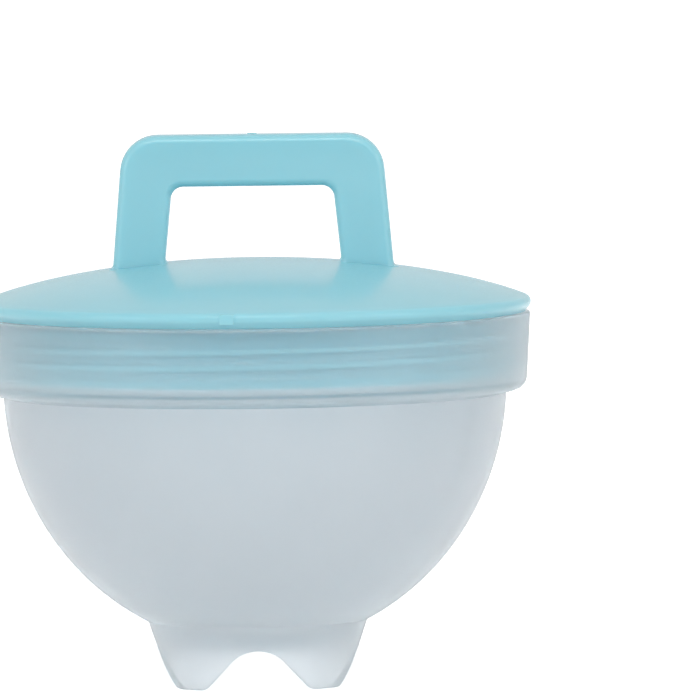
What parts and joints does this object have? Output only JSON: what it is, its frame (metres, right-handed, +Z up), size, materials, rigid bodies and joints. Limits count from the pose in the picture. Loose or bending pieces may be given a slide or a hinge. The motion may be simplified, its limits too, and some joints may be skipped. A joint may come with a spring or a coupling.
{
  "type": "egg mold",
  "caption": "Round egg-cooking cup of frosted plastic on four small scalloped feet, with a screw lid that has a domed top and an arch handle.",
  "frame": {"origin": "on the cup's axis, level with the tips of its four feet", "axes": "+Z up along the cup's axis, X along the handle, and the front looks towards -Y"},
  "size_m": [0.0718, 0.0719, 0.0718],
  "materials": {
    "frosted_cup": "frosted, translucent, moulded polypropylene",
    "teal_lid": "satin moulded polypropylene"
  },
  "bodies": {
    "cup": {"cup": "frosted_cup"},
    "lid": {"lid": "teal_lid"}
  },
  "joints": [
    {"name": "lid_lift", "type": "slide", "parent": "cup", "child": "lid", "axis": [0, 0, 1], "range_m": [0, 0.03]}
  ]
}
